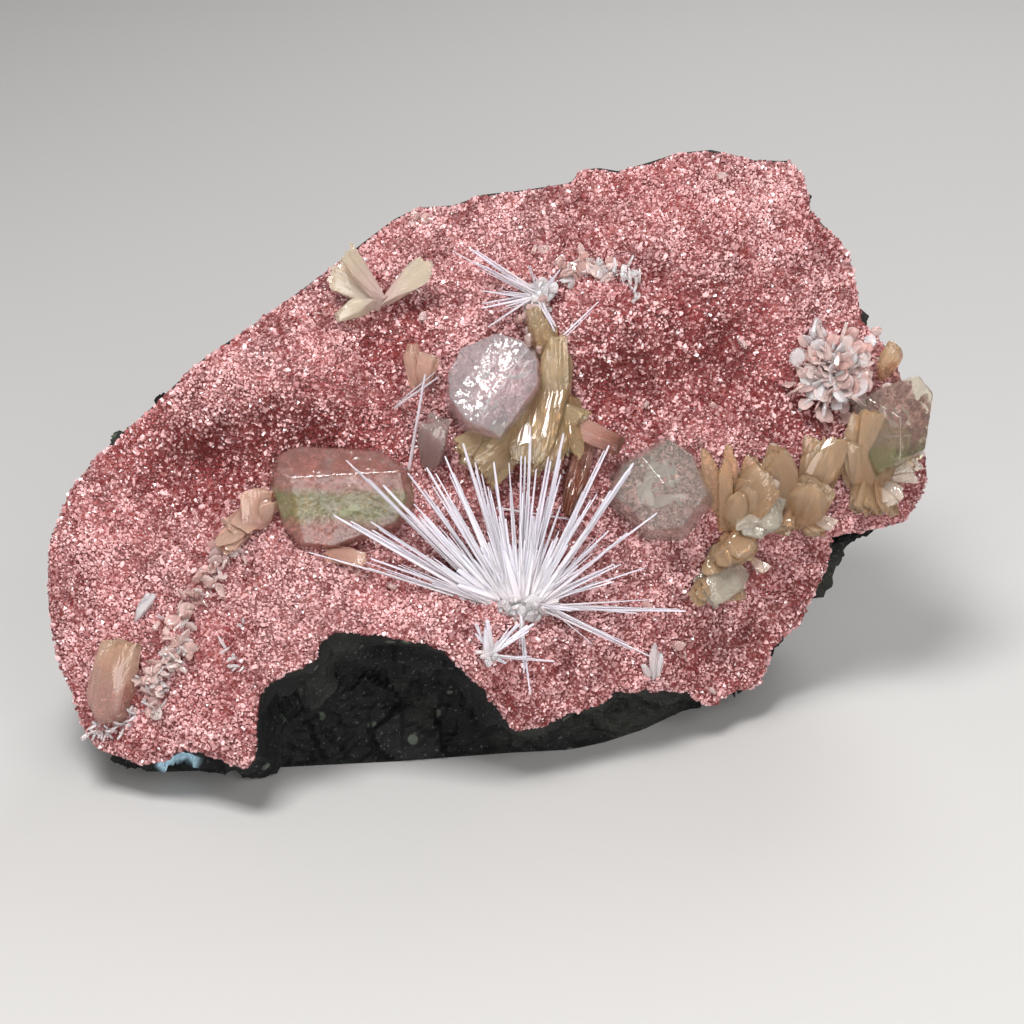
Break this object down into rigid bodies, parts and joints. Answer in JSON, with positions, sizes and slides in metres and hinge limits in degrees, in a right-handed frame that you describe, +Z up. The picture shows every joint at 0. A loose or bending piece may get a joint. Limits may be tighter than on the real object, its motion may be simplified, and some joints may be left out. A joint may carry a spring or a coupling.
{
  "type": "scolecite specimen",
  "caption": "Broken plate of dark basalt with a leaning face of pink heulandite druse, a fan of scolecite needles, blocky apophyllite and sheaves of stilbite.",
  "frame": {"origin": "middle of the underside of the specimen's box", "axes": "+Z up, +X to the right along the specimen's length, the pink face towards -Y and leaning back"},
  "size_m": [0.1512, 0.0772, 0.0943],
  "materials": {
    "basalt": "dark grey, rough broken surface with small mineral-filled bubbles",
    "heulandite": "salmon pink druse of tiny glassy flat-faced crystals",
    "scolecite": "white to colourless, silky and translucent needles",
    "apophyllite": "glassy and see-through, colourless with green zones",
    "stilbite": "translucent tan to yellow-green, pearly blades",
    "pale_stilbite": "pale and translucent, glassy small crystals"
  },
  "bodies": {
    "root": {"apophyllite_clear": "apophyllite", "apophyllite_green": "apophyllite", "apophyllite_grey": "apophyllite", "apophyllite_right": "apophyllite", "basalt_matrix": "basalt", "heulandite_crust": "heulandite", "pale_crystals_left": "pale_stilbite", "pale_crystals_upper": "pale_stilbite", "scolecite_needle_crossed": "scolecite", "scolecite_needle_left": "scolecite", "scolecite_prism_left": "scolecite", "scolecite_prism_right": "scolecite", "scolecite_spray_main": "scolecite", "scolecite_spray_upper": "scolecite", "stilbite_blade_low_left": "stilbite", "stilbite_bowtie": "stilbite", "stilbite_chain_right": "stilbite", "stilbite_grey_pink": "stilbite", "stilbite_left": "stilbite", "stilbite_pair_tan": "stilbite", "stilbite_plate_low": "stilbite", "stilbite_right": "stilbite", "stilbite_rosette": "pale_stilbite", "stilbite_sheaf_centre": "stilbite", "stilbite_tan_right": "stilbite"}
  },
  "joints": []
}
